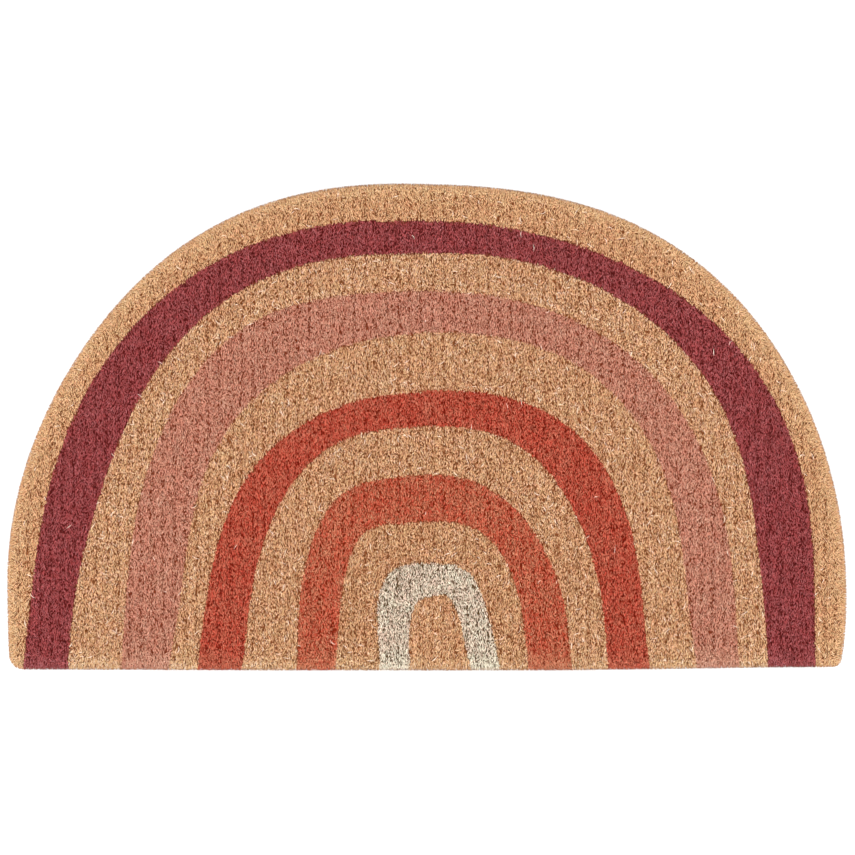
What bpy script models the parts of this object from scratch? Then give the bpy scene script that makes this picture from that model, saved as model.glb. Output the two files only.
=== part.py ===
"""Half-round coir doormat: one flat slab of cut coir pile, cast on its base and die-cut as one piece.

Metres, +Z up. The mat lies flat, its straight front edge towards -Y and its crown towards +Y.
The origin is on the underside, in the middle of the mat's width and depth.
"""

import math
from bisect import bisect_left
from collections import namedtuple

import bmesh
import bpy
from mathutils import Vector
from mathutils.geometry import delaunay_2d_cdt, intersect_point_line

# Driving sizes, in metres
MAT_WIDTH = 0.750
MAT_DEPTH = 0.435
MAT_THICKNESS = 0.015
BASE_THICKNESS = 0.0025

# The outline is a squared-off ellipse about a crown left of the middle, widest above the straight front edge.
# Below its widest line each side follows an ellipse of its own half height, low_reach, so that it draws in.
WIDEST_HEIGHT = 0.070
CROWN_SHIFT = -0.014
Side = namedtuple("Side", "squareness low_reach corner_radius front_lift")
LEFT = Side(2.10, 2.00, 0.013, 0.0008)
RIGHT = Side(2.24, 0.32, 0.008, 0.0030)

# Hand-cut unevenness: a slow wave round the outline, and a front edge that lifts towards both ends
CUT_WAVE = 0.0020
CUT_WAVE_TURNS = 6
CUT_WAVE_PEAK = math.radians(-4)
FRONT_LIFT_FROM = 0.090

# The pile is set in rows that run from the front edge to the crown, with a shallow valley between rows
ROW_PITCH = 0.010
ROW_DEPTH = 0.0010
PILE_LUMP = 0.00035
LUMP_LENGTHS = (0.170, 0.118)
TOP_HEIGHT = MAT_THICKNESS - ROW_DEPTH / 2 - PILE_LUMP
ALONG_ROW_STEP = 0.035

# The cut side of the mat, from the floor up: how far it stands in from the outline, and its height
RIM_COLUMNS = ("inset", "height")
RIM = (
    (0.0014, 0.0),
    (0.0014, BASE_THICKNESS),
    (0.0004, 0.0060),
    (0.0000, 0.0090),
    (0.0008, 0.0118),
    (0.0028, 0.0135),
    (0.0060, TOP_HEIGHT),
)

# How closely the surface follows those sizes
OUTLINE_STEP = 0.009
CORNER_STEPS = 5
DENSE_STEP = math.radians(0.1)
BELOW_WIDEST = math.radians(16)
ROW_END_GAP = 0.006
RIM_ROOM = 0.004
RIM_FADE = 0.016
SAME_POINT = 1e-7
SHARP_FROM = math.radians(40)

COIR_COLOUR = (0.52, 0.27, 0.125, 1.0)
COIR_ROUGHNESS = 0.9


def clear_scene():
    for thing in list(bpy.data.objects):
        bpy.data.objects.remove(thing)


def smooth_step(share):
    share = min(1.0, max(0.0, share))
    return share * share * (3 - 2 * share)


def side_of(across):
    return LEFT if across < 0 else RIGHT


def curved_edge(angle):
    """A point of the crown and sides, by its angle about the crown's place on the widest line."""
    across, up = math.cos(angle), math.sin(angle)
    square = side_of(across).squareness
    half = MAT_WIDTH / 2 - math.copysign(1, across) * CROWN_SHIFT
    tall = MAT_DEPTH - WIDEST_HEIGHT if up > 0 else side_of(across).low_reach
    reach = (abs(across / half) ** square + abs(up / tall) ** square) ** (-1 / square)
    reach += CUT_WAVE * math.cos(CUT_WAVE_TURNS * (angle - CUT_WAVE_PEAK))
    return Vector((CROWN_SHIFT + reach * across, WIDEST_HEIGHT + reach * up))


def front_height(across):
    """Height of the front edge above the mat's front line, which lifts towards both ends."""
    share = (abs(across) - FRONT_LIFT_FROM) / (MAT_WIDTH / 2 - FRONT_LIFT_FROM)
    return side_of(across).front_lift * smooth_step(share)


def side_line(direction):
    """The curved edge from its foot on the front line up to the crown; direction is 1 for the right half."""
    turn = math.pi / 2 + BELOW_WIDEST
    steps = round(turn / DENSE_STEP)
    angles = [math.pi / 2 - direction * turn * (1 - step / steps) for step in range(steps + 1)]
    return [point for point in map(curved_edge, angles) if point.y > 0]


def with_corner(line):
    """The arc that rounds the side line's foot, from the front edge up, and the line that is left above it."""
    direction = math.copysign(1, line[0].x)
    radius = side_of(direction).corner_radius
    rise = line[1] - line[0]
    lean = math.atan2(direction * rise.x, rise.y)
    top = front_height(line[0].x) + radius * (1 - math.sin(lean))
    kept = [point for point in line if point.y > top]
    below = line[-len(kept) - 1]
    start = below.lerp(kept[0], (top - below.y) / (kept[0].y - below.y))
    centre = start - radius * Vector((direction * math.cos(lean), -math.sin(lean)))
    arc = []
    for step in range(CORNER_STEPS):
        turn = -math.pi / 2 + (math.pi / 2 - lean) * step / CORNER_STEPS
        arc.append(centre + radius * Vector((direction * math.cos(turn), math.sin(turn))))
    return arc, [start] + kept


def evenly_spaced(points, step):
    """Points about step apart along an open line, with both of its ends."""
    run = [0.0]
    for before, after in zip(points, points[1:]):
        run.append(run[-1] + (after - before).length)
    count = round(run[-1] / step)
    spaced = []
    for number in range(count + 1):
        along = run[-1] * number / count
        after = max(1, bisect_left(run, along))
        share = (along - run[after - 1]) / (run[after] - run[after - 1])
        spaced.append(points[after - 1].lerp(points[after], share))
    return spaced


def mat_outline():
    """The outline anticlockwise, at the mat's width and depth, with their middle at the origin."""
    right_corner, right_line = with_corner(side_line(1))
    left_corner, left_line = with_corner(side_line(-1))
    crown = evenly_spaced(right_line + left_line[-2::-1], OUTLINE_STEP)
    front_from, front_to = left_corner[0].x, right_corner[0].x
    front_steps = round((front_to - front_from) / OUTLINE_STEP)
    front = []
    for step in range(1, front_steps):
        across = front_from + (front_to - front_from) * step / front_steps
        front.append(Vector((across, front_height(across))))
    line = right_corner + crown + left_corner[::-1] + front
    low = Vector((min(point.x for point in line), min(point.y for point in line)))
    high = Vector((max(point.x for point in line), max(point.y for point in line)))
    middle, size = (low + high) / 2, high - low
    scale = Vector((MAT_WIDTH / size.x, MAT_DEPTH / size.y))
    return [(point - middle) * scale for point in line]


def moved_in(line, inset):
    """The outline moved inwards along its own normals."""
    moved = []
    for number, point in enumerate(line):
        along = line[(number + 1) % len(line)] - line[number - 1]
        outward = Vector((along.y, -along.x)).normalized()
        moved.append(point - inset * outward)
    return moved


def pile_height(point, edge):
    """Height of the pile's top: rows with valleys between, on a slow unevenness, both dying out at the rim."""
    row = math.cos(math.tau * point.x / ROW_PITCH)
    lump = math.sin(math.tau * point.x / LUMP_LENGTHS[0]) * math.cos(math.tau * point.y / LUMP_LENGTHS[1])
    share = smooth_step(room_to(edge, point) / RIM_FADE)
    return TOP_HEIGHT + share * (ROW_DEPTH / 2 * row + PILE_LUMP * lump)


def span_of_column(line, across):
    """Lowest and highest Y of a closed line at one X, or None where the column misses it."""
    crossings = []
    for before, after in zip(line, line[1:] + line[:1]):
        if (before.x - across) * (after.x - across) < 0:
            share = (across - before.x) / (after.x - before.x)
            crossings.append(before.y + share * (after.y - before.y))
    return (min(crossings), max(crossings)) if crossings else None


def room_to(line, point):
    """Distance from a point to the closed line."""
    rooms = []
    for before, after in zip(line, line[1:] + line[:1]):
        nearest, share = intersect_point_line(point, before, after)
        if share < 0:
            nearest = before
        elif share > 1:
            nearest = after
        rooms.append((nearest.xy - point).length)
    return min(rooms)


def row_points(edge):
    """Points along every crest and valley inside the closed line edge, and the runs that join them."""
    points, runs = [], []
    half = ROW_PITCH / 2
    reach = math.ceil(MAT_WIDTH / 2 / half)
    for column in range(-reach, reach + 1):
        across = column * half
        span = span_of_column(edge, across)
        if span is None:
            continue
        low, high = span[0] + ROW_END_GAP, span[1] - ROW_END_GAP
        count = max(1, round((high - low) / ALONG_ROW_STEP))
        follows = False
        for step in range(count + 1):
            point = Vector((across, low + (high - low) * step / count))
            clear = room_to(edge, point) >= RIM_ROOM
            if clear and follows:
                runs.append((len(points) - 1, len(points)))
            if clear:
                points.append(point)
            follows = clear
    return points, runs


def build_mat():
    """The whole mat as one closed body: underside, cut side and pile top."""
    line = mat_outline()
    count = len(line)
    body = bmesh.new()
    rings = []
    for inset, height in RIM:
        rings.append([body.verts.new((point.x, point.y, height)) for point in moved_in(line, inset)])
    for lower, upper in zip(rings, rings[1:]):
        for number in range(count):
            following = (number + 1) % count
            body.faces.new((lower[number], lower[following], upper[following], upper[number]))
    body.faces.new(rings[0][::-1])

    edge = moved_in(line, RIM[-1][RIM_COLUMNS.index("inset")])
    inner, runs = row_points(edge)
    boundary = [(number, (number + 1) % count) for number in range(count)]
    joined = boundary + [(first + count, last + count) for first, last in runs]
    inside_only = 1
    flat, _, faces, origins, _, _ = delaunay_2d_cdt(edge + inner, joined, [], inside_only, SAME_POINT)
    tops = []
    for place, sources in zip(flat, origins):
        on_rim = [source for source in sources if source < count]
        if on_rim:
            tops.append(rings[-1][on_rim[0]])
        else:
            tops.append(body.verts.new((place.x, place.y, pile_height(place, edge))))
    for face in faces:
        body.faces.new([tops[number] for number in face])
    bmesh.ops.recalc_face_normals(body, faces=body.faces)

    mesh = bpy.data.meshes.new("coir_mat")
    body.to_mesh(mesh)
    body.free()
    mesh.shade_smooth()
    mesh.set_sharp_from_angle(angle=SHARP_FROM)
    mat = bpy.data.objects.new("coir_mat", mesh)
    bpy.context.scene.collection.objects.link(mat)
    return mat


def coir_material():
    coir = bpy.data.materials.new("coir")
    coir.use_nodes = True
    surface = coir.node_tree.nodes["Principled BSDF"]
    surface.inputs["Base Color"].default_value = COIR_COLOUR
    surface.inputs["Roughness"].default_value = COIR_ROUGHNESS
    surface.inputs["Metallic"].default_value = 0.0
    return coir


def main():
    clear_scene()
    mat = build_mat()
    mat.data.materials.append(coir_material())


main()
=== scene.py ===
import math
from collections import namedtuple

import bpy
import numpy as np
from bpy.props import CollectionProperty, FloatProperty, FloatVectorProperty, IntProperty, PointerProperty
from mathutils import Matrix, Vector
from mathutils.geometry import delaunay_2d_cdt
from mathutils.kdtree import KDTree


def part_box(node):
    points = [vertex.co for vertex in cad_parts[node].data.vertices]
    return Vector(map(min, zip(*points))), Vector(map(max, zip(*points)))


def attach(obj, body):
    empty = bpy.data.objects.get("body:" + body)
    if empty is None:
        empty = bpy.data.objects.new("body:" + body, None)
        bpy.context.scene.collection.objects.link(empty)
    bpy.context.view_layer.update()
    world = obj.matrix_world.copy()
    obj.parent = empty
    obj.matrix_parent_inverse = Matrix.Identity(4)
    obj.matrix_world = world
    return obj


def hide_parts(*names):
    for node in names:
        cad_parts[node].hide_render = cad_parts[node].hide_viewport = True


bl_info = {
    "name": "Printed Coir Doormat",
    "version": (1, 0, 0),
    "blender": (4, 5, 0),
    "location": "View3D > Sidebar > Doormat",
    "description": "Dresses a half-round coir doormat: backing, cut pile, arches and loose fibres",
    "category": "Object",
}

# The frame: one solid mat, flat on the floor, its straight front edge towards -Y
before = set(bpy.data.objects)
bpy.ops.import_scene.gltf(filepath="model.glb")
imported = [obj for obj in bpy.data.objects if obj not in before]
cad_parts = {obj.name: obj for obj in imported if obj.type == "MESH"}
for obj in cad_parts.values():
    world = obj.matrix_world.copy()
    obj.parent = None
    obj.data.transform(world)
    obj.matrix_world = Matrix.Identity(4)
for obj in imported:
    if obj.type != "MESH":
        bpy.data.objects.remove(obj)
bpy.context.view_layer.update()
MAT = "coir_mat"
LOW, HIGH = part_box(MAT)
FRONT = LOW.y
THICKNESS = HIGH.z - LOW.z
CORNER = np.array([LOW.x, LOW.y])
SPAN = np.array([HIGH.x - LOW.x, HIGH.y - LOW.y])
MM = 0.001

# The printed arches from the outermost inwards, in millimetres and degrees. Each is the band between two
# curves that stand on the front edge. Left and right are the feet, measured from the middle, and crown is
# how far the top lies to the right. Flare is how far below the front edge the curve would be widest. The
# wobble, as in a hand-cut stencil, is a share of the curve's size, with so many waves to a full turn.
# The numbers come from a fit to the places of the edges in the photo, rounded and in part moved.
CurveRow = namedtuple(
    "CurveRow", "left right crown rise left_square right_square left_flare right_flare wobble waves phase"
)
CURVE_LENGTHS = ("left", "right", "crown", "rise", "left_flare", "right_flare")
ARCHES = {
    "maroon": (
        CurveRow(364, 351, -45, 397, 2.8, 3.0, 300, 75, 0.010, 6, -90),
        CurveRow(319, 304, -45, 372, 2.2, 3.0, 45, 65, 0.004, 8, 140),
    ),
    "rose": (
        CurveRow(275, 282, -37, 334, 3.3, 3.6, 300, 300, 0.008, 6, -90),
        CurveRow(230, 242, 19, 297, 3.4, 3.3, 300, 300, 0.008, 7, -165),
    ),
    "red": (
        CurveRow(204, 200, -5, 247, 2.5, 3.8, 45, 300, 0.006, 7, -155),
        CurveRow(166, 163, -15, 215, 3.2, 3.7, 300, 300, 0.006, 6, -70),
    ),
    "terracotta": (
        CurveRow(117, 131, -10, 171, 4.7, 3.5, 300, 300, 0.008, 6, -80),
        CurveRow(81.5, 91, -17, 132, 4.6, 4.6, 300, 300, 0.003, 7, -140),
    ),
    "off_white": (
        CurveRow(44, 64, 27, 95, 4.7, 2.8, 0, 255, 0.025, 3, 120),
        CurveRow(15.5, 39, 16, 68, 4.4, 1.6, 0, 75, 0.020, 6, 95),
    ),
}
INKS = tuple(ARCHES)

# How each ink darkens in the shade and pales where it is worn, as shares of its red, green and blue, how
# much of its green and blue comes and goes from place to place, and its contrast as a share of the usual
InkTone = namedtuple("InkTone", "shadow worn fading contrast")
INK_TONES = {
    "maroon": InkTone((0.27, 0.100, 0.085), (1.26, 1.94, 2.06), 0.20, 0.90),
    "rose": InkTone((0.325, 0.130, 0.078), (1.12, 1.70, 1.98), 0.13, 0.60),
    "red": InkTone((0.33, 0.092, 0.040), (1.12, 1.72, 1.90), 0.36, 0.73),
    "terracotta": InkTone((0.35, 0.118, 0.052), (1.06, 1.82, 2.08), 0.42, 0.70),
    "off_white": InkTone((0.145, 0.093, 0.050), (1.26, 1.74, 2.00), 0.10, 0.74),
}
COIR_FADING = 0.14
FADE_STEPS = 8

# How much of the slow patches, and how much chance, goes into the fading of bare and of printed fibres
Fading = namedtuple("Fading", "patches chance")
BARE_FADING = Fading(0.5, 0.3)
PRINTED_FADING = Fading(1.0, 0.4)

# The bare stretches from the rim inwards: how much paler than usual each one is, as a share of full
# shade, and its contrast as a share of the usual one
Ground = namedtuple("Ground", "paleness contrast")
GROUNDS = {
    "coir_border": Ground(0.005, 0.38),
    "coir_ground_2": Ground(0.03, 0.88),
    "coir_ground_3": Ground(0.01, 0.88),
    "coir_ground_4": Ground(0.0, 0.90),
    "coir_ground_5": Ground(-0.03, 0.90),
    "coir_heart": Ground(0.0, 0.75),
}

# The layers of fibres on the cut side, in millimetres
SideLayer = namedtuple("SideLayer", "inset root_height tip_height")
SIDE_LAYERS = (
    SideLayer(0.3, 2.2, 8.5),
    SideLayer(0.8, 2.4, 10.5),
    SideLayer(1.6, 5.0, 12.2),
    SideLayer(2.6, 8.0, 13.2),
)

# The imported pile's side from the backing up, in millimetres
CoreRim = namedtuple("CoreRim", "inset height")
CORE_RIM = (CoreRim(2.4, 2.3), CoreRim(1.9, 6.0), CoreRim(2.0, 8.5), CoreRim(3.4, 10.0))

# Slow lumps of the pile's top, with the height, length and start of each, and the room kept for them
Lump = namedtuple("Lump", "height length phase")
LUMPS = (Lump(0.25 * MM, 0.021, 1.0), Lump(0.2 * MM, 0.055, 2.0))
LUMP_ROOM = 0.35 * MM

# Distances in from the edge: where the rows begin, the width over which they rise, the width of the
# calmer pile along the rim, and where the first fibres, pits and loose fibres stand
ROWS_FROM = 2 * MM
ROWS_RISE = 8 * MM
CALM_WIDTH = 26 * MM
FIBRES_FROM = 1.2 * MM
PITS_FROM = 4.5 * MM
STRAYS_FROM = 9 * MM

# How far above the solid's top the tip of a fibre and a loose fibre may reach
FIBRE_OVER = 0.6 * MM
STRAY_OVER = 0.9 * MM

# How unevenly the ink's edge falls, and the shares of its length that keep a fibre's root off that edge
INK_EDGE = 0.28 * MM
KEPT_SHARES = (0.85, 0.65, 0.45)

# Painted shade: the pile under the fibres is darkened for the shade in the gaps between them
# The imported pile's tint: from dark coir towards the usual one, and as a share of an ink's shadow
PACKED_COIR = 0.07
PACKED_INK = 0.85

# Spacing of points on a flat face
FLAT_STEP = 30 * MM

# Side of the squares of fibres in which the dark ones are chosen by rank, so that they are spread evenly
RANK_CELL = 3

# The lowest and highest shade a fibre may have, which keeps it within its column of the baking map
SHADES = (0.005, 0.995)
BAKE_PIXELS = 1024

Fibres = namedtuple("Fibres", "root tip width turn shade level fade")

# What the operators have made so far, for the ones that come after
MADE = {"pieces": []}


def a_number(name, default, description, **kind):
    return FloatProperty(name=name, description=description, default=default, **kind)


def a_length(name, default, description):
    return a_number(name, default, description, unit="LENGTH", precision=5)


def a_colour(name, *default):
    return FloatVectorProperty(
        name=name, description=f"{name} colour", subtype="COLOR", size=3, min=0, max=1, default=default
    )


class ArchCurve(bpy.types.PropertyGroup):
    """One edge of a printed arch."""

    left: a_length("Left Foot", 0.0, "Distance to the left of the middle")
    right: a_length("Right Foot", 0.0, "Distance to the right of the middle")
    crown: a_length("Crown Shift", 0.0, "How far right of the middle the top lies")
    rise: a_length("Rise", 0.0, "Height of the top above the front edge")
    left_square: a_number("Left Squareness", 2.5, "2 is an ellipse, and more is squarer")
    right_square: a_number("Right Squareness", 2.5, "2 is an ellipse, and more is squarer")
    left_flare: a_length("Left Flare", 0.0, "Depth below the front edge of the widest place")
    right_flare: a_length("Right Flare", 0.0, "Depth below the front edge of the widest place")
    wobble: a_number("Wobble", 0.004, "Unevenness, as a share of the curve's size", subtype="FACTOR")
    waves: IntProperty(name="Wobble Waves", description="Waves of the wobble in a full turn", default=6)
    phase: a_number("Wobble Phase", 0.0, "Turn by which the waves are moved on", unit="ROTATION")


class MatSizes(bpy.types.PropertyGroup):
    """Sizes of the mat's backing, pile and fibres."""

    backing: a_length("Backing", 2.5 * MM, "Thickness of the cast backing")
    backing_inset: a_length("Backing Inset", 1.4 * MM, "How far in from the rim the backing is")
    rim_width: a_length("Rim Width", 6 * MM, "Width of the rounded rim of the pile")
    rim_height: a_length("Rim Height", 9 * MM, "Height of the widest line of the rim")
    row_pitch: a_length("Row Pitch", 10 * MM, "Distance between rows of pile")
    row_depth: a_length("Row Depth", 1.0 * MM, "Depth of the valley between rows")
    core_depth: a_length("Core Depth", 2.6 * MM, "Depth of the packed pile under the tips")
    core_step: a_length("Core Step", 3.6 * MM, "Spacing of points on the packed pile")
    across: a_length("Spacing Across", 0.98 * MM, "Spacing of fibres across the rows")
    along: a_length("Spacing Along", 1.16 * MM, "Spacing of fibres along the rows")
    fibre_width: a_length("Fibre Width", 0.80 * MM, "Width of a clump of fibres")
    fibre_length: a_length("Fibre Length", 3.1 * MM, "Length of a clump of fibres")
    root_shadow: a_length("Root Shadow", 2.2 * MM, "Depth at which a fibre is in full shadow")
    tuft: a_length("Tuft", 3.6 * MM, "Width of a tuft whose fibres lean alike")
    pit_size: a_length("Pit Size", 0.48 * MM, "Usual half length of a pit in the pile")
    # Painted light: the pile along the rim is made paler for the light that the rounded rim catches
    pale_width: a_length("Pale Rim Width", 20 * MM, "Width of the paler pile along the rim")
    rim_paleness: a_number("Rim Paleness", 0.025, "How much paler the pile along the rim is")
    ink_depth: a_length("Ink Depth", 4.5 * MM, "How far the ink reaches down the pile")
    pits: IntProperty(name="Pits", description="Small dark pits in the pile", default=11000)
    # Shadowed fibres and specks are painted shade of the gaps between fibres; specks are also real dark
    # bits of coir
    shadowed: a_number("Shadowed", 0.048, "Share of dark fibres", subtype="FACTOR")
    specks: a_number("Specks", 0.088, "Share of short dark ends", subtype="FACTOR")
    strays: IntProperty(name="Stray Fibres", description="Loose pale fibres on top", default=430)
    seed: IntProperty(name="Seed", description="Seed of the random placing", default=11)


class MatColours(bpy.types.PropertyGroup):
    """Colours of the coir, the inks, the backing and the floor."""

    coir: a_colour("Coir", 0.692, 0.405, 0.207)
    coir_dark: a_colour("Dark Coir", 0.155, 0.034, 0.006)
    coir_pale: a_colour("Pale Coir", 0.80, 0.65, 0.53)
    stray: a_colour("Stray Fibre", 0.88, 0.76, 0.64)
    maroon: a_colour("Maroon", 0.356, 0.0745, 0.076)
    rose: a_colour("Dusty Rose", 0.596, 0.279, 0.191)
    red: a_colour("Red", 0.540, 0.114, 0.067)
    terracotta: a_colour("Terracotta", 0.575, 0.157, 0.085)
    off_white: a_colour("Off White", 0.772, 0.662, 0.526)
    palest_ink: a_colour("Palest Ink", 0.96, 0.84, 0.71)
    backing: a_colour("Backing", 0.035, 0.028, 0.023)
    floor: a_colour("Floor", 0.58, 0.58, 0.58)


# Where the mat's edge is, read from the frame


def unit(vectors):
    return vectors / np.maximum(np.linalg.norm(vectors, axis=-1, keepdims=True), 1e-12)


def places_of(mesh):
    places = np.empty(len(mesh.vertices) * 3)
    mesh.vertices.foreach_get("co", places)
    return places.reshape(-1, 3)


def widest_ring():
    """The points of the solid's widest ring, anticlockwise, as X and Y."""
    places = places_of(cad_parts[MAT].data)
    levels = np.round(places[:, 2], 5)
    widths = {level: np.ptp(places[levels == level, 0]) for level in np.unique(levels)}
    widest = max(widths, key=widths.get)
    ring = np.unique(np.round(places[levels == widest, :2], 6), axis=0)
    inside = (LOW.x + HIGH.x) / 2, FRONT + 100 * MM
    x, y = (ring - inside).T
    return ring[np.argsort(np.arctan2(y, x))]


def spaced_ring(ring, step):
    """Points about step apart along the closed ring."""
    closed = np.vstack([ring, ring[:1]])
    run = np.concatenate([[0], np.cumsum(np.linalg.norm(np.diff(closed, axis=0), axis=1))])
    at = np.linspace(0, run[-1], int(run[-1] / step), endpoint=False)
    return np.stack([np.interp(at, run, closed[:, axis]) for axis in (0, 1)], axis=1)


def outward(ring):
    """The outward normal at each point of an anticlockwise ring."""
    along = np.roll(ring, -1, axis=0) - np.roll(ring, 1, axis=0)
    return unit(np.stack([along[:, 1], -along[:, 0]], axis=1))


def tree_of(points):
    tree = KDTree(len(points))
    for number, (x, y) in enumerate(points):
        tree.insert((x, y, 0), number)
    tree.balance()
    return tree


EDGE = spaced_ring(widest_ring(), 1 * MM)
EDGE_NORMALS = outward(EDGE)
EDGE_TREE = tree_of(EDGE)


def room_to_edge(points):
    """How far inside the edge each point is, and the edge's outward normal there."""
    nearest = np.array([EDGE_TREE.find((x, y, 0))[1] for x, y in points[:, :2]])
    normals = EDGE_NORMALS[nearest]
    return ((EDGE[nearest] - points[:, :2]) * normals).sum(1), normals


def smooth_step(share):
    share = np.clip(share, 0, 1)
    return share * share * (3 - 2 * share)


def ripple(points, length, phase):
    """A slow unevenness from -1 to 1 with bumps about length across."""
    x, y = points[:, :2].T * math.tau / length
    first = np.sin(0.91 * x + 0.42 * y + phase) * np.sin(0.87 * y - 0.38 * x + 2.3 * phase)
    second = np.sin(1.63 * x - 0.55 * y + 1.7 * phase) * np.sin(1.49 * y + 0.71 * x + phase)
    return 0.62 * first + 0.38 * second


def row_wave(points, sizes):
    """1 on the crest of a row of pile and -1 in the valley between rows."""
    return np.cos(math.tau * points[:, 0] / sizes.row_pitch + 0.5 * ripple(points, 0.09, 4.0))


def pile_top(points, room, sizes):
    """Height of the pile's top at each point: rows, a slow unevenness and the rounded rim."""
    flat = THICKNESS - sizes.row_depth / 2 - LUMP_ROOM
    in_from_rim = np.clip(room / sizes.rim_width, 0, 1)
    rounded = sizes.rim_height + (flat - sizes.rim_height) * np.sqrt(1 - (1 - in_from_rim) ** 2)
    share = smooth_step((room - ROWS_FROM) / ROWS_RISE)
    lumps = sum(lump.height * ripple(points, lump.length, lump.phase) for lump in LUMPS)
    return rounded + share * (sizes.row_depth / 2 * row_wave(points, sizes) + lumps)


# The printed arches


def fill_curves(curves):
    """Puts the table's rows into the scene's collection of curves, in metres and radians."""
    curves.clear()
    for ink, pair in ARCHES.items():
        for row in pair:
            curve = curves.add()
            curve.name = ink
            for name, value in row._asdict().items():
                setattr(curve, name, value * MM if name in CURVE_LENGTHS else value)
            curve.phase = math.radians(row.phase)


def inside_curve(points, curve):
    """True for each point inside a squared-off arch that stands on the front edge."""
    up = np.clip(points[:, 1] - FRONT, 0, None)
    across = points[:, 0] - curve.crown
    left = across < 0
    square = np.where(left, curve.left_square, curve.right_square)
    flare = np.where(left, curve.left_flare, curve.right_flare)
    foot = np.where(left, curve.left + curve.crown, curve.right - curve.crown)
    tall = curve.rise + flare
    half = foot / (1 - (flare / tall) ** square) ** (1 / square)
    reach = ((np.abs(across) / half) ** square + ((up + flare) / tall) ** square) ** (1 / square)
    turn = np.arctan2(up, points[:, 0])
    return reach < 1 + curve.wobble * np.sin(curve.waves * turn + curve.phase)


def zone_of(points, curves):
    """How many curves each point is inside: odd on ink, even on bare coir."""
    return sum(inside_curve(points, curve).astype(int) for curve in curves)


# Fibres


def rank_in_cell(column, line, rng):
    """A random rank for each fibre among those in its cell of the grid."""
    block = (column // RANK_CELL) * (line.max() // RANK_CELL + 1) + line // RANK_CELL
    order = np.lexsort((rng.random(len(block)), block))
    ordered = block[order]
    starts = np.concatenate([[True], ordered[1:] != ordered[:-1]])
    start = np.maximum.accumulate(np.where(starts, np.arange(len(block)), 0))
    rank = np.empty(len(block), int)
    rank[order] = np.arange(len(block)) - start
    return rank


def scattered(count, rng):
    """About count places over the mat's box, one at random in each cell of a grid."""
    cells = np.ceil(SPAN / math.sqrt(SPAN.prod() / count)).astype(int)
    x, y = np.indices(cells)
    places = np.stack([x.ravel(), y.ravel()], axis=1) + rng.random((cells.prod(), 2))
    return CORNER + places * SPAN / cells


class Pits:
    """A grid of small cells that says where the pile is open: oval pits, more between the rows."""

    cell = 0.25 * MM
    reach_in_cells = 12
    oversupply = 1.5

    def __init__(self, sizes, rng):
        self.open = np.zeros((SPAN / self.cell).astype(int) + 2, bool)
        centres = scattered(self.oversupply * sizes.pits, rng)
        room, _ = room_to_edge(centres)
        wanted = 0.73 - 0.35 * row_wave(centres, sizes) + 0.3 * ripple(centres, 0.03, 6.0)
        wanted *= 0.25 + 0.75 * smooth_step((room - 5 * MM) / (20 * MM))
        centres = centres[(rng.random(len(centres)) < wanted) & (room > PITS_FROM)]
        count = len(centres)
        long = sizes.pit_size * np.exp(rng.normal(0, 0.38, count))[:, None, None]
        short = long * rng.uniform(0.45, 0.75, count)[:, None, None]
        turn = rng.normal(0, 0.45, count)[:, None, None]
        step = np.arange(-self.reach_in_cells, self.reach_in_cells + 1)
        right, up = np.meshgrid(step, step, indexing="ij")
        x = right * np.cos(turn) - up * np.sin(turn)
        y = right * np.sin(turn) + up * np.cos(turn)
        inside = (x * self.cell / short) ** 2 + (y * self.cell / long) ** 2 < 1
        column, line = self.cells(centres)
        columns = (column[:, None, None] + right)[inside]
        lines = (line[:, None, None] + up)[inside]
        self.open[self.within_grid(columns, lines)] = True

    def within_grid(self, column, line):
        return np.clip(column, 0, self.open.shape[0] - 1), np.clip(line, 0, self.open.shape[1] - 1)

    def cells(self, points):
        return self.within_grid(*((points - CORNER) / self.cell).astype(int).T)

    def crossed(self, root, tip):
        """True for each fibre that lies over a pit."""
        found = np.zeros(len(root), bool)
        for share in (0.35, 0.6, 0.85, 1.0):
            found |= self.open[self.cells(root + share * (tip - root))]
        return found


def tuft_lean(places, sizes, rng):
    """The turn from the row and the side that each fibre leans to, alike within a tuft."""
    column = np.floor(places[:, 0] / sizes.tuft + 0.35 * ripple(places, 0.011, 7.0)).astype(int)
    line = np.floor(places[:, 1] / (1.3 * sizes.tuft) + 0.35 * ripple(places, 0.013, 8.0)).astype(int)
    column -= column.min()
    line -= line.min()
    tufts = (column.max() + 1, line.max() + 1)
    swing = rng.normal(0, math.radians(19), tufts)[column, line]
    swing += rng.normal(0, math.radians(17), len(places))
    side = np.sign(rng.normal(0, 1, tufts)[column, line] + rng.normal(0, 0.7, len(places)))
    return swing, side


def fade_at(places, rng, more=0.0):
    """How faded the colour is at each fibre, mostly from 0 to 1: slow patches and some chance."""
    fade = 0.5 + more + 0.27 * ripple(places, 0.030, 9.0) + 0.2 * ripple(places, 0.080, 10.0)
    return fade + rng.normal(0, 0.12, len(places))


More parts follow.
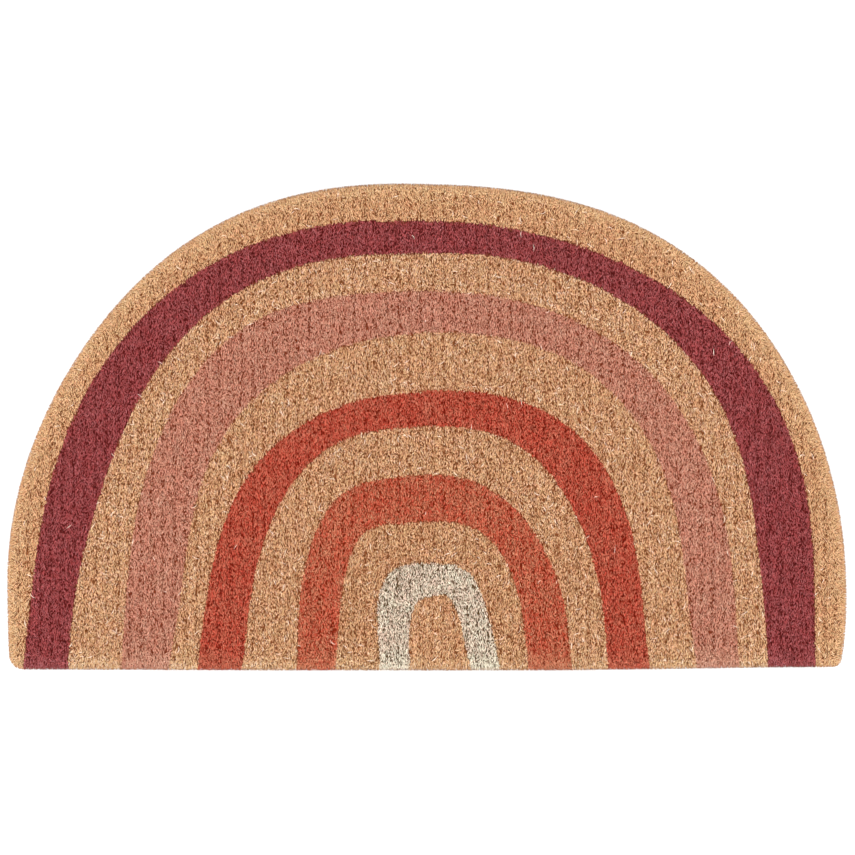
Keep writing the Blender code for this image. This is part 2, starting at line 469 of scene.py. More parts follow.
def pile_fibres(sizes, rng):
    """The cut pile from above: short leaning clumps, mostly along the rows, and outward at the rim."""
    spacing = (sizes.across, sizes.along)
    column, line = np.indices((SPAN / spacing).astype(int) + 2).reshape(2, -1)
    places = CORNER + np.stack([column + 0.5 * (line % 2), line], axis=1) * spacing
    places += rng.uniform(-0.42, 0.42, places.shape) * spacing
    rank = rank_in_cell(column, line, rng)
    room, normals = room_to_edge(places)
    places, room, normals, rank = (rows[room > FIBRES_FROM] for rows in (places, room, normals, rank))

    # The valleys between rows are a little barer
    bare = np.clip((0.5 - 0.5 * row_wave(places, sizes)) ** 3 * 0.25, 0, 0.6)
    bare *= smooth_step((room - 5 * MM) / (6 * MM))
    kept = rng.random(len(places)) > bare
    places, room, normals, rank = (rows[kept] for rows in (places, room, normals, rank))

    # Directions: along the rows, and splayed out at the rim
    count = len(places)
    swing, side = tuft_lean(places, sizes, rng)
    heading = np.stack([np.sin(swing), np.cos(swing)], axis=1) * side[:, None]
    splay_width = 2.3 * sizes.rim_width
    splay = smooth_step(1 - room / splay_width)
    heading = unit(heading * (1 - 0.6 * splay[:, None]) + 1.1 * splay[:, None] * normals)
    lean = np.radians(rng.uniform(30, 70, count))
    lean += (np.radians(66) - lean) * splay

    # Specks are short dark ends, partly real dark bits of coir and mostly painted shade of the gaps between
    # fibres;
    # shadowed fibres are dark ones of full length, painted shade of those gaps as well
    length = sizes.fibre_length * np.clip(rng.normal(1, 0.22, count), 0.5, 1.6)
    near_rim = smooth_step(1 - room / CALM_WIDTH)
    per_cell = RANK_CELL**2
    speck = (rank == 0) & (rng.random(count) < per_cell * sizes.specks * (1 - 0.5 * near_rim))
    speck_length = 0.45
    length[speck] *= speck_length
    shadowed = (rank == 1) & (rng.random(count) < per_cell * sizes.shadowed * (1 - 0.2 * splay))

    # Tips stay inside the edge, and thick clumps stand a little lower
    tip = places + heading * (0.25 * length * np.sin(lean))[:, None]
    tip_room, _ = room_to_edge(tip)
    over = np.clip(0.1 * MM - tip_room, 0, None)
    tip -= normals * over[:, None]
    level = pile_top(tip, tip_room + over, sizes)
    tip_height = level + rng.normal(0, 0.28 * MM, count)
    thick = rng.uniform(0.62, 1.3, count)
    thick[speck | shadowed] *= 0.85
    tip_height -= 0.7 * MM * (thick - 0.95)
    tip_height[speck] = level[speck] + 0.4 * MM
    # Painted shade: a speck's level is raised so that it takes the full root shadow
    level[speck] += 1.2 * sizes.root_shadow
    root = tip - heading * (length * np.sin(lean))[:, None]
    root_height = tip_height - length * np.cos(lean)

    # Shades: chance, slow patches, a paler rim painted as the light it catches, and painted shade on
    # splayed fibres
    shade = 0.5 + 0.125 * (1 + 0.6 * splay) * rng.standard_normal(count)
    shade += 0.06 * ripple(places, 0.035, 5.0) + 0.06 * ripple(places, 0.018, 12.0)
    shade += sizes.rim_paleness * smooth_step(1 - room / sizes.pale_width) - 0.04 * splay
    shade[shadowed] = rng.uniform(0.0, 0.12, shadowed.sum())
    shade[speck] = 0
    fibres = Fibres(
        np.column_stack([root, root_height]),
        np.column_stack([tip, np.minimum(tip_height, THICKNESS + FIBRE_OVER)]),
        sizes.fibre_width * thick,
        rng.uniform(0, math.pi, count),
        np.clip(shade, *SHADES),
        level,
        fade_at(places, rng, 0.5 * near_rim),
    )
    return chosen(fibres, ~Pits(sizes, rng).crossed(root, tip))


def side_fibres(sizes, rng):
    """The cut side of the mat: long fibres that stand on the backing and lean out to the rim."""
    ring = spaced_ring(EDGE, 0.62 * MM)
    normals = outward(ring)
    along = np.stack([-normals[:, 1], normals[:, 0]], axis=1)
    count = len(ring)
    layers = []
    for layer in SIDE_LAYERS:
        drift = rng.normal(0, 0.7 * MM, count)[:, None]
        in_at_root = layer.inset * MM + 1.3 * MM + rng.uniform(0, 0.6 * MM, count)
        in_at_tip = layer.inset * MM - 0.3 * MM + rng.normal(0, 0.2 * MM, count)
        root = ring - normals * in_at_root[:, None]
        tip = ring - normals * np.clip(in_at_tip, -0.3 * MM, None)[:, None] + along * drift
        root_height = layer.root_height * MM + rng.uniform(-0.3, 1.2, count) * MM
        tip_height = layer.tip_height * MM + rng.normal(0, 0.7, count) * MM
        layers.append(
            Fibres(
                np.column_stack([root, np.maximum(root_height, 2.0 * MM)]),
                np.column_stack([tip, tip_height]),
                sizes.fibre_width * rng.uniform(0.8, 1.3, count),
                rng.uniform(0, math.pi, count),
                # A shade a little below the usual, and a level halfway between tip and top for the root
                # shadow, paint shade on the cut side
                np.clip(0.47 + 0.24 * rng.standard_normal(count), 0.01, 0.99),
                0.5 * (tip_height + THICKNESS),
                fade_at(tip, rng, 0.35),
            )
        )
    return joined(layers)


def chosen(fibres, mask):
    return Fibres(*(part[mask] for part in fibres))


def joined(layers):
    return Fibres(*(np.concatenate(parts) for parts in zip(*layers)))


def mesh_of(name, places, faces):
    """A smooth mesh from arrays of points and triangles."""
    mesh = bpy.data.meshes.new(name)
    mesh.vertices.add(len(places))
    mesh.vertices.foreach_set("co", np.asarray(places, np.float32).ravel())
    mesh.loops.add(faces.size)
    mesh.loops.foreach_set("vertex_index", faces.astype(np.int32).ravel())
    mesh.polygons.add(len(faces))
    mesh.polygons.foreach_set("loop_start", np.arange(0, faces.size, 3, dtype=np.int32))
    mesh.update(calc_edges=True)
    mesh.shade_smooth()
    return mesh


def set_map(mesh, shade, depth, fade):
    """The map for baking. Colour depends on these three alone: each step of the fade has its own column,
    with the shade across it and the depth from the top down. A sliver's ends are 3 pixels wide."""
    aside = np.tile([-1.5, 1.5], len(shade) // 2) / BAKE_PIXELS
    margin = 0.03
    across = (np.round(fade * (FADE_STEPS - 1)) + margin + (1 - 2 * margin) * shade) / FADE_STEPS
    places = np.column_stack([across + aside, 1 - depth / (THICKNESS + MM)])
    corners = np.empty(len(mesh.loops), np.int32)
    mesh.loops.foreach_get("vertex_index", corners)
    layer = mesh.uv_layers.new(name="OFBake")
    layer.uv.foreach_set("vector", places[corners].astype(np.float32).ravel())


def fibre_piece(name, fibres, material):
    """One object of many fibres. Each is a closed four-sided sliver between two short crossed ends."""
    along = unit(fibres.tip - fibres.root)
    nearly_up = (0.01, 0.01, 1.01)
    side = unit(np.cross(along, nearly_up))
    other = np.cross(along, side)
    cos, sin = np.cos(fibres.turn)[:, None], np.sin(fibres.turn)[:, None]
    half = fibres.width[:, None] / 2
    taper = 0.8
    at_root = half * (cos * side + sin * other)
    at_tip = half * taper * (cos * other - sin * side)
    corners = np.stack(
        [fibres.root - at_root, fibres.root + at_root, fibres.tip - at_tip, fibres.tip + at_tip], axis=1
    )
    pattern = np.array([(0, 2, 1), (0, 1, 3), (0, 3, 2), (1, 2, 3)])
    faces = (4 * np.arange(len(corners)))[:, None, None] + pattern
    mesh = mesh_of(name, corners.reshape(-1, 3), faces.reshape(-1, 3))

    shade, level, fade = (np.repeat(part, 4) for part in (fibres.shade, fibres.level, fibres.fade))
    depth = np.clip(level - corners[:, :, 2].ravel(), 0, THICKNESS)
    for attribute, values in (("shade", shade), ("depth", depth), ("fade", fade)):
        layer = mesh.attributes.new(attribute, "FLOAT", "POINT")
        layer.data.foreach_set("value", values.astype(np.float32))
    set_map(mesh, shade, depth, fade)
    return placed(name, mesh, material)


def stray_mesh(sizes, curves, rng):
    """Loose curved fibres, mostly on the bare pile: thin three-sided tubes with both ends low."""
    rings, sides = 7, 3
    lift, droop = 0.55 * MM, 3.2 * MM
    share_on_ink = 0.03
    starts = rng.uniform((LOW.x, LOW.y), (HIGH.x, HIGH.y), (sizes.strays * 4, 2))
    room, _ = room_to_edge(starts)
    bare = zone_of(starts, curves) % 2 == 0
    wanted = bare | (rng.random(len(starts)) < share_on_ink)
    starts = starts[(room > STRAYS_FROM) & wanted][: sizes.strays]
    count = len(starts)
    length = rng.uniform(3.5, 8.5, count) * MM
    heading = rng.uniform(0, math.tau, count)
    bend = rng.normal(0, 1.1, count)
    share = np.linspace(-0.5, 0.5, rings)
    turn = heading[:, None] + bend[:, None] * share
    step = length[:, None] / (rings - 1)
    x = starts[:, :1] + np.cumsum(step * np.cos(turn), axis=1)
    y = starts[:, 1:] + np.cumsum(step * np.sin(turn), axis=1)
    flat = np.column_stack([x.ravel(), y.ravel()])
    top = pile_top(flat, room_to_edge(flat)[0], sizes).reshape(x.shape)
    z = np.minimum(top + lift - droop * share**2 * 4, THICKNESS + STRAY_OVER)
    path = np.stack([x, y, z], axis=2)
    along = unit(np.gradient(path, axis=1))
    aside = unit(np.cross(along, [0, 0, 1]))
    above = np.cross(aside, along)
    thick = rng.uniform(0.16, 0.26, count)[:, None] * MM * (1 - 0.5 * np.abs(2 * share))
    angles = math.tau * np.arange(sides) / sides
    points = (
        path[:, :, None]
        + (thick[:, :, None] * np.cos(angles))[..., None] * aside[:, :, None]
        + (thick[:, :, None] * np.sin(angles))[..., None] * above[:, :, None]
    )
    faces = []
    for ring in range(rings - 1):
        for corner in range(sides):
            a, b = ring * sides + corner, ring * sides + (corner + 1) % sides
            faces += [(a, a + sides, b), (b, a + sides, b + sides)]
    last = (rings - 1) * sides
    faces += [(0, 1, 2), (last, last + 2, last + 1)]
    numbers = (rings * sides * np.arange(count))[:, None, None] + np.array(faces)
    return mesh_of("stray_fibres", points.reshape(-1, 3), numbers.reshape(-1, 3))


def placed(name, mesh, material):
    piece = bpy.data.objects.new(name, mesh)
    bpy.context.scene.collection.objects.link(piece)
    mesh.materials.append(material)
    return piece


def hold(piece):
    """The piece belongs to the mat's one body and stands for its solid."""
    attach(piece, "root")
    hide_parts(MAT)
    MADE["pieces"].append(piece)


# Slabs that fill the outline


def inset_ring(ring, inset):
    return ring - inset * outward(ring)


def filled(ring, step, rng):
    """Points and triangles that fill a closed ring, the ring's points first."""
    low, high = ring.min(0), ring.max(0)
    x, y = np.meshgrid(np.arange(low[0], high[0], step), np.arange(low[1], high[1], step * 0.87))
    x = x + 0.5 * step * (np.arange(len(x)) % 2)[:, None]
    inner = np.stack([x.ravel(), y.ravel()], axis=1)
    inner += rng.uniform(-0.12, 0.12, inner.shape) * step
    room, _ = room_to_edge(inner)
    ring_room = room_to_edge(ring)[0].mean()
    inner = inner[room > ring_room + 0.6 * step]
    count = len(ring)
    rim = [(first, (first + 1) % count) for first in range(count)]
    inside_only, same_point = 1, 1e-8
    points = [Vector(place) for place in np.concatenate([ring, inner])]
    places, _, faces, _, _, _ = delaunay_2d_cdt(points, rim, [], inside_only, same_point)
    return np.array([tuple(place) for place in places]), np.array(faces)


def slab(name, rings, step, top, rng):
    """A closed slab from rings of the edge, the lowest first. Top gives heights within the last ring."""
    count = len(rings[0][0])
    places = [np.column_stack([ring, np.full(count, height)]) for ring, height in rings]
    faces = []
    first = np.arange(count)
    following = (first + 1) % count
    for level in range(len(rings) - 1):
        low, high = level * count, (level + 1) * count
        faces.append(np.column_stack([low + first, low + following, high + following]))
        faces.append(np.column_stack([low + first, high + following, high + first]))
    for level, turned in ((len(rings) - 1, False), (0, True)):
        spacing = FLAT_STEP if turned else step
        points, triangles = filled(rings[level][0], spacing, rng)
        inner = points[count:]
        height = np.full(len(inner), rings[0][1]) if turned else top(inner)
        start = sum(len(part) for part in places)
        places.append(np.column_stack([inner, height]))
        numbers = np.concatenate([level * count + first, start + np.arange(len(inner))])
        faces.append(numbers[triangles[:, ::-1] if turned else triangles])
    return mesh_of(name, np.concatenate(places), np.concatenate(faces))


# Materials

STRAND_SCALE = 1100.0
STRAND_AMOUNT = 0.22
ROOT_SHADOW = (0.55, 0.47, 0.42, 1.0)

# How far above and below the ink's depth the print thins out
INK_ABOVE = 1.0 * MM
INK_BELOW = 1.5 * MM


def feed(tree, node, values):
    """Fills a node's inputs by name or number; each value is a socket to link or a plain one to set."""
    for name, value in values.items():
        if isinstance(value, bpy.types.NodeSocket):
            tree.links.new(value, node.inputs[name])
        else:
            node.inputs[name].default_value = value


def mix_colours(tree, share, first, second, blend="MIX"):
    """The output of a colour mix; share, first and second are sockets or plain values."""
    mix = tree.nodes.new("ShaderNodeMix")
    mix.data_type = "RGBA"
    mix.blend_type = blend
    numbers = {socket.identifier: number for number, socket in enumerate(mix.inputs)}
    wanted = {"Factor_Float": share, "A_Color": first, "B_Color": second}
    feed(tree, mix, {numbers[identifier]: value for identifier, value in wanted.items()})
    return next(socket for socket in mix.outputs if socket.identifier == "Result_Color")


def map_range(tree, value, low, high, smooth=False, to=(0.0, 1.0)):
    """The output of a range node; value, low and high are sockets or numbers."""
    node = tree.nodes.new("ShaderNodeMapRange")
    if smooth:
        node.interpolation_type = "SMOOTHSTEP"
    feed(tree, node, {"Value": value, "From Min": low, "From Max": high, "To Min": to[0], "To Max": to[1]})
    return node.outputs["Result"]


def fibre_tone(group, given):
    """Colour of a fibre by its shade: dark, usual or pale."""
    usual = map_range(group, given["Shade"], 0.05, 0.5)
    pale = map_range(group, given["Shade"], 0.5, 1.0)
    darker = mix_colours(group, usual, given["Dark"], given["Usual"])
    return mix_colours(group, pale, darker, given["Pale"])


def strands(group, given):
    """The shade of a fibre, made uneven along it by the finer strands it is made of."""
    place = group.nodes.new("ShaderNodeTexCoord")
    noise = group.nodes.new("ShaderNodeTexNoise")
    feed(group, noise, {"Vector": place.outputs["Object"], "Scale": given["Scale"], "Detail": 1})
    centred = map_range(group, noise.outputs["Fac"], 0.25, 0.75, to=(-0.5, 0.5))
    uneven = group.nodes.new("ShaderNodeMath")
    uneven.operation = "MULTIPLY_ADD"
    feed(group, uneven, {0: centred, 1: given["Amount"], 2: given["Shade"]})
    return uneven.outputs[0]


def root_shadow(group, given):
    """Darkens a fibre from its tip down to a depth in the pile."""
    share = map_range(group, given["Depth"], 0.0, given["Full Depth"])
    dark = mix_colours(group, 1.0, given["Color"], given["Shadow"], "MULTIPLY")
    return mix_colours(group, share, given["Color"], dark)


def fading(group, given):
    """Makes a colour paler or deeper in its green and blue, by how faded it is."""
    share = mix_colours(group, given["Fade"], given["Deeper"], given["Paler"])
    return mix_colours(group, 1.0, given["Color"], share, "MULTIPLY")


def printed_tip(group, given):
    """Ink over a fibre's own colour, from the tip down to the ink's depth."""
    bare = map_range(group, given["Depth"], given["Ink To"], given["Bare From"], smooth=True)
    return mix_colours(group, bare, given["Ink"], given["Fibre"])


# The shader node groups that materials share: how each is filled, and its inputs with their usual values
BROWN = (0.5, 0.3, 0.15, 1.0)
DARK, PALE, RED = (0.2, 0.1, 0.05, 1.0), (0.9, 0.7, 0.5, 1.0), (0.3, 0.1, 0.1, 1.0)
DEEPER, PALER = (1.0, 0.8, 0.8, 1.0), (1.0, 1.2, 1.2, 1.0)
SharedGroup = namedtuple("SharedGroup", "build inputs")
SHARED_GROUPS = {
    "Fibre Tone": SharedGroup(fibre_tone, {"Shade": 0.5, "Dark": DARK, "Usual": BROWN, "Pale": PALE}),
    "Strands": SharedGroup(strands, {"Shade": 0.5, "Scale": STRAND_SCALE, "Amount": STRAND_AMOUNT}),
    "Root Shadow": SharedGroup(
        root_shadow, {"Color": BROWN, "Depth": 0.0, "Full Depth": 0.002, "Shadow": ROOT_SHADOW}
    ),
    "Fading": SharedGroup(fading, {"Color": BROWN, "Fade": 0.5, "Deeper": DEEPER, "Paler": PALER}),
    "Printed Tip": SharedGroup(
        printed_tip, {"Depth": 0.0, "Ink To": 0.004, "Bare From": 0.006, "Fibre": BROWN, "Ink": RED}
    ),
}


def shared_group(name):
    """One of the shared groups, built the first time it is asked for."""
    if name in bpy.data.node_groups:
        return bpy.data.node_groups[name]
    group = bpy.data.node_groups.new(name, "ShaderNodeTree")
    for socket, usual in SHARED_GROUPS[name].inputs.items():
        kind = "NodeSocketFloat" if isinstance(usual, float) else "NodeSocketColor"
        group.interface.new_socket(socket, in_out="INPUT", socket_type=kind).default_value = usual
    made = SHARED_GROUPS[name].build(group, group.nodes.new("NodeGroupInput").outputs)
    output = "Color" if made.type == "RGBA" else "Shade"
    group.interface.new_socket(output, in_out="OUTPUT", socket_type=made.bl_idname)
    group.links.new(made, group.nodes.new("NodeGroupOutput").inputs[output])
    return group


def use_group(tree, name, values):
    """The output of a node that uses a shared group, with its inputs filled by name."""
    node = tree.nodes.new("ShaderNodeGroup")
    node.node_tree = shared_group(name)
    feed(tree, node, values)
    return node.outputs[0]


def solid_colour(colour, strength=1.0):
    return tuple(min(1.0, part * strength) for part in colour) + (1.0,)


def new_material(name, roughness, specular=0.25):
    material = bpy.data.materials.new(name)
    material.use_nodes = True
    surface = material.node_tree.nodes["Principled BSDF"]
    feed(material.node_tree, surface, {"Roughness": roughness, "Specular IOR Level": specular})
    return material, material.node_tree, surface


def attribute_socket(tree, name, output="Fac"):
    attribute = tree.nodes.new("ShaderNodeAttribute")
    attribute.attribute_name = name
    return attribute.outputs[output]


def tone(tree, shade, dark, usual, pale):
    return use_group(tree, "Fibre Tone", {"Shade": shade, "Dark": dark, "Usual": usual, "Pale": pale})


def strand_shade(tree):
    shade = attribute_socket(tree, "shade")
    return use_group(tree, "Strands", {"Shade": shade, "Scale": STRAND_SCALE, "Amount": STRAND_AMOUNT})


def shadowed(tree, colour, sizes):
    depth = attribute_socket(tree, "depth")
    values = {"Color": colour, "Depth": depth, "Full Depth": sizes.root_shadow, "Shadow": ROOT_SHADOW}
    return use_group(tree, "Root Shadow", values)


def faded(tree, colour, amount):
    fade = attribute_socket(tree, "fade")
    deeper, paler = (1.0, 1 - amount, 1 - amount, 1.0), (1.0, 1 + amount, 1 + amount, 1.0)
    return use_group(tree, "Fading", {"Color": colour, "Fade": fade, "Deeper": deeper, "Paler": paler})


def coir_tone(tree, shade, colours):
    dark, usual, pale = map(solid_colour, (colours.coir_dark, colours.coir, colours.coir_pale))
    return faded(tree, tone(tree, shade, dark, usual, pale), COIR_FADING)


def coir_material(colours, sizes):
    """Undyed coconut fibre."""
    material, tree, surface = new_material("Coir fibre", roughness=0.78, specular=0.08)
    colour = coir_tone(tree, strand_shade(tree), colours)
    feed(tree, surface, {"Base Color": shadowed(tree, colour, sizes)})
    return material


def ink_material(ink, colours, sizes):
    """Coir printed with one ink on its tips."""
    material, tree, surface = new_material(f"{ink} print", roughness=0.85, specular=0.08)
    shade = strand_shade(tree)
    colour, tones = getattr(colours, ink), INK_TONES[ink]
    dark = [part * share for part, share in zip(colour, tones.shadow)]
    worn = [min(part * share, most) for part, share, most in zip(colour, tones.worn, colours.palest_ink)]
    printed = tone(tree, shade, *map(solid_colour, (dark, colour, worn)))
    values = {
        "Depth": attribute_socket(tree, "depth"),
        "Ink To": sizes.ink_depth - INK_ABOVE,
        "Bare From": sizes.ink_depth + INK_BELOW,
        "Fibre": coir_tone(tree, shade, colours),
        "Ink": faded(tree, printed, tones.fading),
    }
    feed(tree, surface, {"Base Color": shadowed(tree, use_group(tree, "Printed Tip", values), sizes)})
    return material


def add_bump(tree, surface, height, strength, distance):
    bump = tree.nodes.new("ShaderNodeBump")
    feed(tree, bump, {"Strength": strength, "Distance": distance, "Height": height})
    feed(tree, surface, {"Normal": bump.outputs["Normal"]})


def core_material():
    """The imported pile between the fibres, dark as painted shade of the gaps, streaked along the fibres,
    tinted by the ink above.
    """
    material, tree, surface = new_material("Packed pile", roughness=0.95, specular=0.1)
    place = tree.nodes.new("ShaderNodeTexCoord")
    stretch = tree.nodes.new("ShaderNodeMapping")
    feed(tree, stretch, {"Vector": place.outputs["Object"], "Scale": (1.0, 0.45, 0.3)})
    streaks = tree.nodes.new("ShaderNodeTexNoise")
    feed(tree, streaks, {"Vector": stretch.outputs["Vector"], "Scale": 900, "Detail": 3})
    # Streaks along the fibres, partly grain and partly painted shade, darken the tint
    depth = map_range(tree, streaks.outputs["Fac"], 0.3, 0.7, to=(0.35, 1.0))
    shadow = mix_colours(tree, 1.0, attribute_socket(tree, "tint", "Color"), depth, "MULTIPLY")
    feed(tree, surface, {"Base Color": shadow})
    add_bump(tree, surface, streaks.outputs["Fac"], strength=0.8, distance=0.6 * MM)
    return material


def backing_material(colours):
    """Dark cast backing with a fine pebbled skin."""
    material, tree, surface = new_material("Cast backing", roughness=0.6)
    place = tree.nodes.new("ShaderNodeTexCoord")
    pebble = tree.nodes.new("ShaderNodeTexVoronoi")
    pebble.feature = "SMOOTH_F1"
    feed(tree, pebble, {"Vector": place.outputs["Object"], "Scale": 650})
    cloud = tree.nodes.new("ShaderNodeTexNoise")
    feed(tree, cloud, {"Vector": place.outputs["Object"], "Scale": 14, "Detail": 4})
    deep, dusty = solid_colour(colours.backing, 0.8), solid_colour(colours.backing, 1.6)
    feed(tree, surface, {"Base Color": mix_colours(tree, cloud.outputs["Fac"], deep, dusty)})
    add_bump(tree, surface, pebble.outputs["Distance"], strength=0.5, distance=0.25 * MM)
    return material


# The pieces


def kept_in_zone(fibres, curves, rng):
    """Fibres drawn in, and thickened, where they would cross a printed edge, and the zone of each."""
    tip, root = fibres.tip[:, :2], fibres.root[:, :2]
    tip_zone = zone_of(tip + rng.normal(0, INK_EDGE, tip.shape), curves)
    share = np.ones(len(tip))
    for reach in KEPT_SHARES:
        across = zone_of(tip + reach * (root - tip), curves) != tip_zone
        share[across] = reach
    drawn_in = fibres.root.copy()
    drawn_in[:, :2] = tip + share[:, None] * (root - tip)
    return fibres._replace(root=drawn_in, width=fibres.width * (1.5 - 0.5 * share)), tip_zone


def toned(fibres, zone, rng):
    """The fibres with the paleness and contrast of their zones, and their fade rounded to a step."""
    # Zones count from the rim inwards, the even ones bare and the odd ones printed
    paleness, contrast = np.zeros(2 * len(GROUNDS)), np.ones(2 * len(GROUNDS))
    paleness[::2] = [ground.paleness for ground in GROUNDS.values()]
    contrast[::2] = [ground.contrast for ground in GROUNDS.values()]
    contrast[1:-1:2] = [INK_TONES[ink].contrast for ink in INKS]
    shade = 0.5 + contrast[zone] * (fibres.shade - 0.5) + paleness[zone]
    patches, chance = np.array([BARE_FADING, PRINTED_FADING])[zone % 2].T
    fade = 0.5 + patches * (fibres.fade - 0.5) + chance * rng.standard_normal(len(zone))
    steps = FADE_STEPS - 1
    fade = np.round(np.clip(fade, 0, 1) * steps) / steps
    return fibres._replace(shade=np.clip(shade, *SHADES), fade=fade)


def mat_fibres(scene):
    """The fibres of the pile and those of its side, each with their zones, worked out once."""
    if "fibres" not in MADE:
        sizes = scene.coir_mat_sizes
        rng = np.random.default_rng(sizes.seed)
        MADE["fibres"] = []
        for whole in (pile_fibres(sizes, rng), side_fibres(sizes, rng)):
            fibres, zone = kept_in_zone(whole, scene.coir_mat_curves, rng)
            MADE["fibres"].append((toned(fibres, zone, rng), zone))
    return MADE["fibres"]


def settings(context):
    return context.scene.coir_mat_sizes, context.scene.coir_mat_colours


class LayBacking(bpy.types.Operator):
    """Casts the backing under the whole mat"""

    bl_idname = "coir_mat.lay_backing"
    bl_label = "Lay Backing"

    def execute(self, context):
        sizes, colours = settings(context)
        rng = np.random.default_rng(sizes.seed)
        ring = spaced_ring(EDGE, 3 * MM)
        edge = 0.4 * MM
        levels = ((edge, 0.0), (0.0, edge), (0.0, sizes.backing - edge), (edge, sizes.backing))
        rings = [(inset_ring(ring, sizes.backing_inset + further), height) for further, height in levels]
        mesh = slab("backing", rings, FLAT_STEP, lambda points: np.full(len(points), sizes.backing), rng)
        hold(placed("backing", mesh, backing_material(colours)))
        return {"FINISHED"}


class PackPile(bpy.types.Operator):
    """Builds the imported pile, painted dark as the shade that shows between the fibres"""

    bl_idname = "coir_mat.pack_pile"
    bl_label = "Pack Pile"

    def execute(self, context):
        sizes, colours = settings(context)
        rng = np.random.default_rng(sizes.seed + 1)
        ring = spaced_ring(EDGE, 2 * MM)
        rings = [(inset_ring(ring, row.inset * MM), row.height * MM) for row in CORE_RIM]

        def top(points):
            room, _ = room_to_edge(points)
            height = pile_top(points, room - 2 * MM, sizes) - sizes.core_depth
            return height + rng.normal(0, 0.3 * MM, len(points))

        mesh = slab("packed_pile", rings, sizes.core_step, top, rng)
        places = places_of(mesh)
        # Painted shade: dark coir and each ink's shadow tone stand for the shade between the fibres
        dark, usual = np.array(colours.coir_dark), np.array(colours.coir)
        coir = dark + (usual - dark) * PACKED_COIR
        tints = [coir]
        for ink in INKS:
            tints += [PACKED_INK * np.array(getattr(colours, ink)) * INK_TONES[ink].shadow, coir]
        inked = places[:, 2] > THICKNESS - sizes.ink_depth - 2 * MM
        zone = np.where(inked, zone_of(places, context.scene.coir_mat_curves), 0)
        tint = np.column_stack([np.array(tints)[zone], np.ones(len(zone))])
        layer = mesh.attributes.new("tint", "FLOAT_COLOR", "POINT")
        layer.data.foreach_set("color", tint.astype(np.float32).ravel())
        hold(placed("packed_pile", mesh, core_material()))
        return {"FINISHED"}


class SetPile(bpy.types.Operator):
    """Sets the undyed coir pile, one piece for each stretch between the arches"""

    bl_idname = "coir_mat.set_pile"
    bl_label = "Set Pile"

    def execute(self, context):
        sizes, colours = settings(context)
        (pile, pile_zone), (side, side_zone) = mat_fibres(context.scene)
        material = coir_material(colours, sizes)
        for number, name in enumerate(GROUNDS):
            hold(fibre_piece(name, chosen(pile, pile_zone == 2 * number), material))
        hold(fibre_piece("coir_side", chosen(side, side_zone % 2 == 0), material))
        return {"FINISHED"}


class PrintArches(bpy.types.Operator):
    """Sets the printed pile, one piece for each arch"""

    bl_idname = "coir_mat.print_arches"
    bl_label = "Print Arches"

    def execute(self, context):
        sizes, colours = settings(context)
        for number, ink in enumerate(INKS):
            printed = [chosen(fibres, zone == 2 * number + 1) for fibres, zone in mat_fibres(context.scene)]
            material = ink_material(ink, colours, sizes)
            hold(fibre_piece(f"{ink}_arch", joined(printed), material))
        return {"FINISHED"}


class ScatterStrays(bpy.types.Operator):
    """Scatters loose pale fibres over the pile"""

    bl_idname = "coir_mat.scatter_strays"
    bl_label = "Scatter Strays"

    def execute(self, context):
        sizes, colours = settings(context)
        mesh = stray_mesh(sizes, context.scene.coir_mat_curves, np.random.default_rng(sizes.seed + 2))
        material, tree, surface = new_material("Pale fibre", roughness=0.7)
        feed(tree, surface, {"Base Color": solid_colour(colours.stray)})
        hold(placed("stray_fibres", mesh, material))
        return {"FINISHED"}


class DeclareMat(bpy.types.Operator):
    """Takes no step of its own: the mat stays as the other steps left it"""

    bl_idname = "coir_mat.declare_mat"
    bl_label = "Declare Mat"

    def execute(self, context):
        return {"FINISHED"}


class SetStage(bpy.types.Operator):
    """Lays a pale floor and sets soft light and the camera above the mat"""

    bl_idname = "coir_mat.set_stage"
    bl_label = "Set Stage"

    def execute(self, context):
        scene = context.scene
        set_floor(scene.coir_mat_colours)
        set_lights(scene)
        set_camera(scene)
        return {"FINISHED"}


def set_floor(colours):
    half = 6.0
    corners = [(-half, -half, 0), (half, -half, 0), (half, half, 0), (-half, half, 0)]
    mesh = bpy.data.meshes.new("floor")
    mesh.from_pydata(corners, [], [(0, 1, 2, 3)])
    material, tree, surface = new_material("Pale floor", roughness=0.9)
    feed(tree, surface, {"Base Color": solid_colour(colours.floor)})
    placed("floor", mesh, material)


def round_lamp(name, place, power):
    light = bpy.data.lights.new(name, "AREA")
    light.shape = "DISK"
    light.size = 1.0
    light.energy = power
    lamp = bpy.data.objects.new(name, light)
    lamp.location = place
    lamp.rotation_euler = (-Vector(place)).to_track_quat("-Z", "Y").to_euler()
    bpy.context.scene.collection.objects.link(lamp)


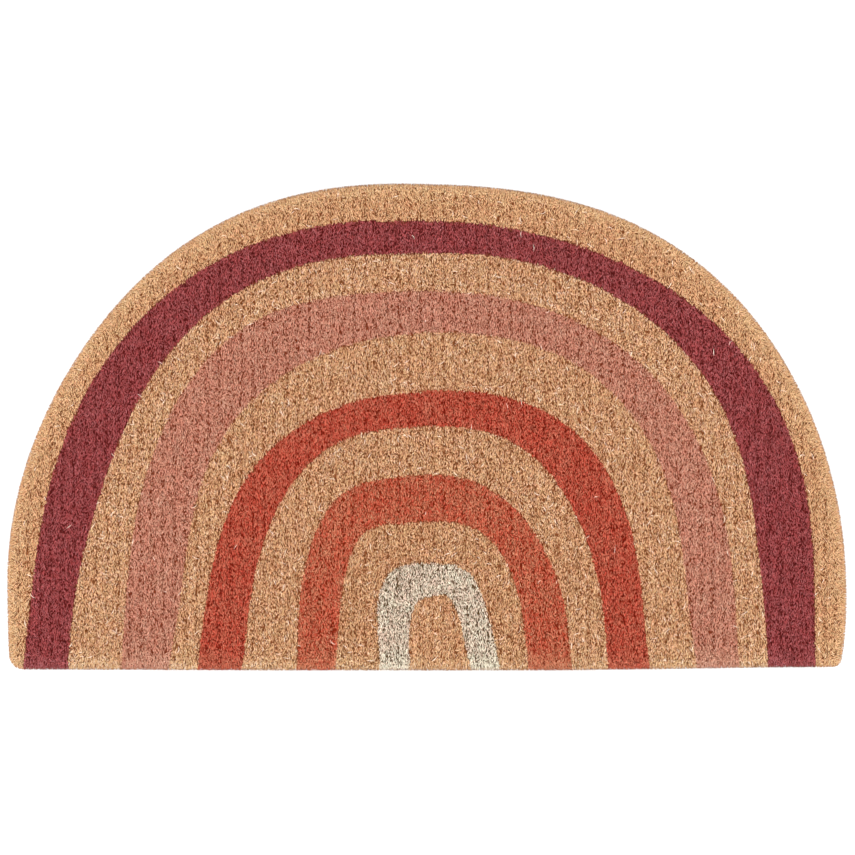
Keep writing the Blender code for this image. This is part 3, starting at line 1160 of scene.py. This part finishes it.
def set_lights(scene):
    """Four soft lamps round the mat, the side ones strongest, and an even white room."""
    world = bpy.data.worlds.new("Soft room")
    world.use_nodes = True
    tree = world.node_tree
    feed(tree, tree.nodes["Background"], {"Color": (1, 1, 1, 1), "Strength": 1.34})
    scene.world = world
    round_lamp("left_lamp", (-1.15, 0.0, 1.45), 29)
    round_lamp("right_lamp", (1.15, 0.0, 1.45), 28)
    round_lamp("front_lamp", (0.0, -1.1, 1.7), 20)
    round_lamp("back_lamp", (0.0, 1.1, 1.7), 13)
    scene.view_settings.view_transform = "Standard"


def set_camera(scene):
    """Straight down, the mat a little left of and above the middle of the picture."""
    height = 3.4
    picture_pixels, mat_pixels = 855, 841
    width = (HIGH.x - LOW.x) * picture_pixels / mat_pixels
    aside, below = 0.6 * MM, 0.4 * MM
    camera = bpy.data.cameras.new("camera")
    camera.sensor_width = 36
    camera.lens = camera.sensor_width * (height - THICKNESS) / width
    holder = bpy.data.objects.new("camera", camera)
    holder.location = (aside, -below, height)
    scene.collection.objects.link(holder)
    scene.camera = holder


class DoormatPanel(bpy.types.Panel):
    """Lists the doormat's sizes, colours and steps"""

    bl_idname = "VIEW3D_PT_coir_mat"
    bl_label = "Coir Doormat"
    bl_space_type = "VIEW_3D"
    bl_region_type = "UI"
    bl_category = "Doormat"

    def draw(self, context):
        layout = self.layout
        for group in settings(context):
            box = layout.box()
            for name in group.bl_rna.properties.keys():
                if name not in ("rna_type", "name"):
                    box.prop(group, name)
        for step in STEPS:
            layout.operator(step.bl_idname)


STEPS = (SetStage, LayBacking, PackPile, SetPile, PrintArches, ScatterStrays, DeclareMat)
CLASSES = (ArchCurve, MatSizes, MatColours, *STEPS, DoormatPanel)


def register():
    for part in CLASSES:
        bpy.utils.register_class(part)
    bpy.types.Scene.coir_mat_sizes = PointerProperty(type=MatSizes)
    bpy.types.Scene.coir_mat_colours = PointerProperty(type=MatColours)
    bpy.types.Scene.coir_mat_curves = CollectionProperty(type=ArchCurve)


def unregister():
    del bpy.types.Scene.coir_mat_curves
    del bpy.types.Scene.coir_mat_colours
    del bpy.types.Scene.coir_mat_sizes
    for part in reversed(CLASSES):
        bpy.utils.unregister_class(part)


def main():
    register()
    fill_curves(bpy.context.scene.coir_mat_curves)
    for step in STEPS:
        family, verb = step.bl_idname.split(".")
        getattr(getattr(bpy.ops, family), verb)()


if __name__ == "__main__":
    main()
